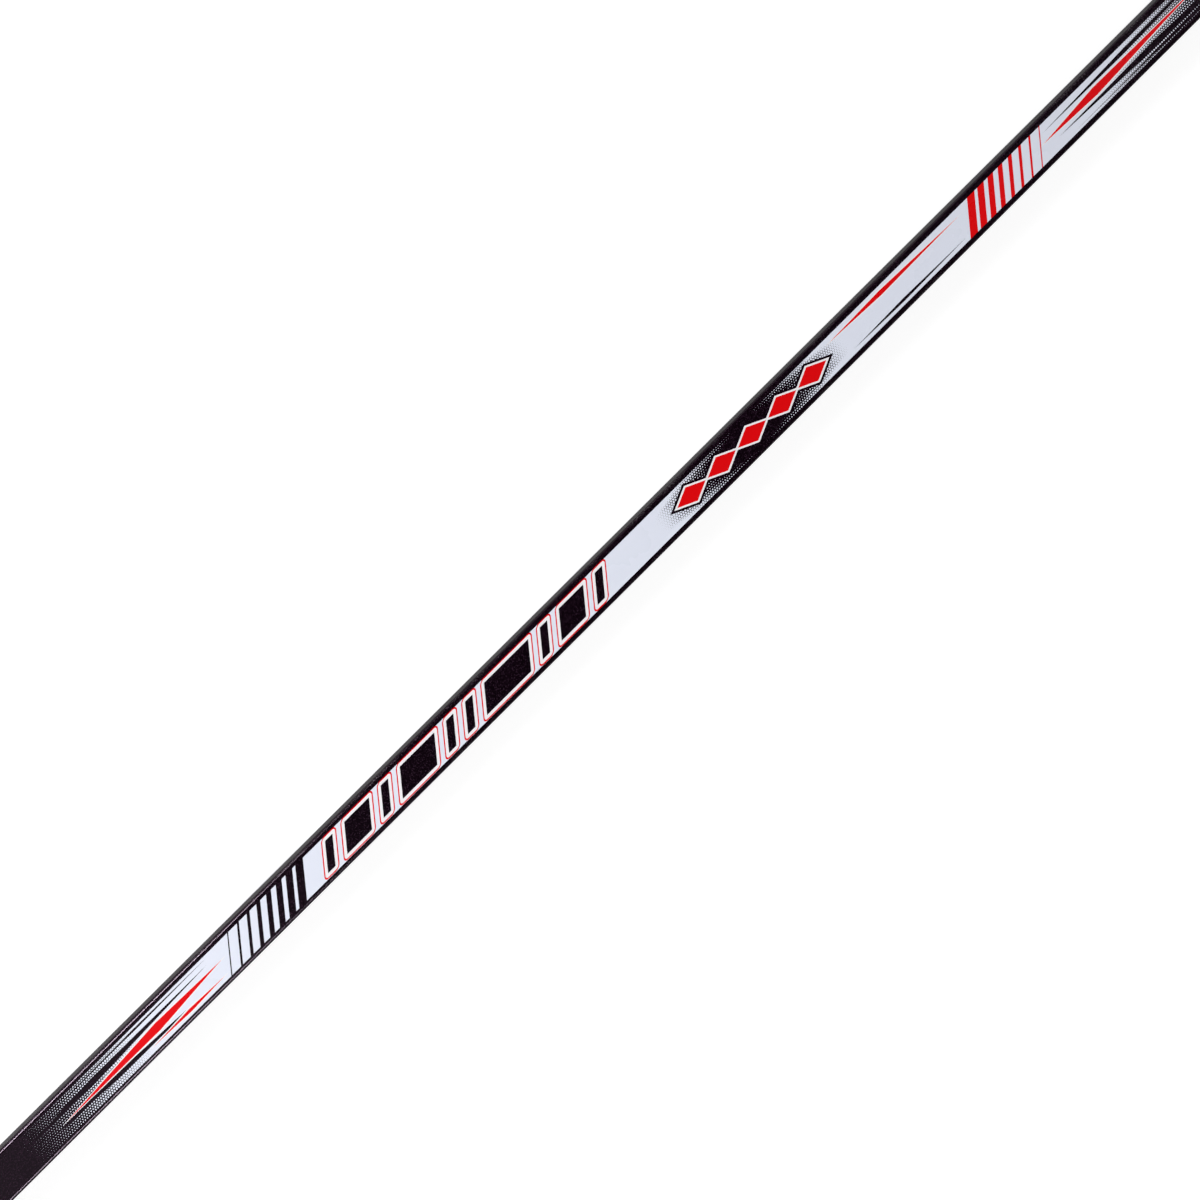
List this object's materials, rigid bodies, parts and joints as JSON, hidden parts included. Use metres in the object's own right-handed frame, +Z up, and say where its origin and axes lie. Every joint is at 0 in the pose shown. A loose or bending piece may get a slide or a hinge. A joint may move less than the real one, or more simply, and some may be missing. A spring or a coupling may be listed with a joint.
{
  "type": "ringette stick",
  "caption": "Straight blade-less stick for ringette: hollow box-section shaft with printed panels, a grooved moulded tip and an end plug.",
  "frame": {"origin": "on the surface the stick lies on, under the middle of its length and width", "axes": "+X along the stick from the tip to the butt, +Y across the wide faces, +Z up out of the front wide face"},
  "size_m": [1.32, 0.026, 0.0183],
  "materials": {
    "shaft_paint": "fine-grained black paint over fibre composite, under a thin gloss",
    "printed_film": "satin printed film, silver-white with red and black print",
    "tip_plastic": "moulded nylon, fine matt grain",
    "hot_melt": "set hot-melt glue, waxy",
    "foam": "closed-cell foam, cut faces",
    "plug_plastic": "moulded plastic, fine matt grain"
  },
  "bodies": {
    "root": {"shaft_tube": "shaft_paint", "front_graphic_film": "printed_film", "back_graphic_film": "printed_film", "tip_body": "tip_plastic", "tip_glue_sleeve": "hot_melt", "foam_stopper": "foam", "butt_plug": "plug_plastic", "plug_glue_sleeve": "hot_melt"}
  },
  "joints": []
}
